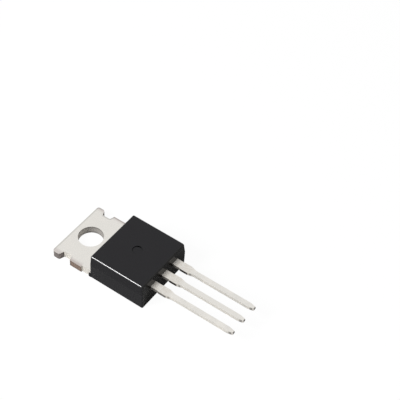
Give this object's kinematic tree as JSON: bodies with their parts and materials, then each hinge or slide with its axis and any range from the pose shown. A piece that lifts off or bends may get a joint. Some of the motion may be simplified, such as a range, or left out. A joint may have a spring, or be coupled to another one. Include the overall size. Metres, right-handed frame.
{
  "type": "schottky diode",
  "caption": "Power schottky rectifier in a flat moulded package, with a drilled metal mounting tab and a row of straight flat leads.",
  "frame": {"origin": "centre of the mounting hole on the back face of the metal tab", "axes": "+Z along the mounting hole, out of the front of the part; +Y from the hole to the free end of the tab, so the leads point along -Y; +X to the right seen from the front with the tab up"},
  "size_m": [0.0104, 0.0295, 0.0045],
  "materials": {
    "tinned_copper": "satin",
    "black_epoxy": "satin",
    "silicon": "polished",
    "solder": "satin",
    "wire_aluminium": "satin"
  },
  "bodies": {
    "root": {"tab_and_centre_lead": "tinned_copper", "anode_lead_left": "tinned_copper", "anode_lead_right": "tinned_copper", "die_left": "silicon", "die_right": "silicon", "die_solder_left": "solder", "die_solder_right": "solder", "bond_wire_left_inner": "wire_aluminium", "bond_wire_left_outer": "wire_aluminium", "bond_wire_right_inner": "wire_aluminium", "bond_wire_right_outer": "wire_aluminium", "moulded_body": "black_epoxy"}
  },
  "joints": []
}
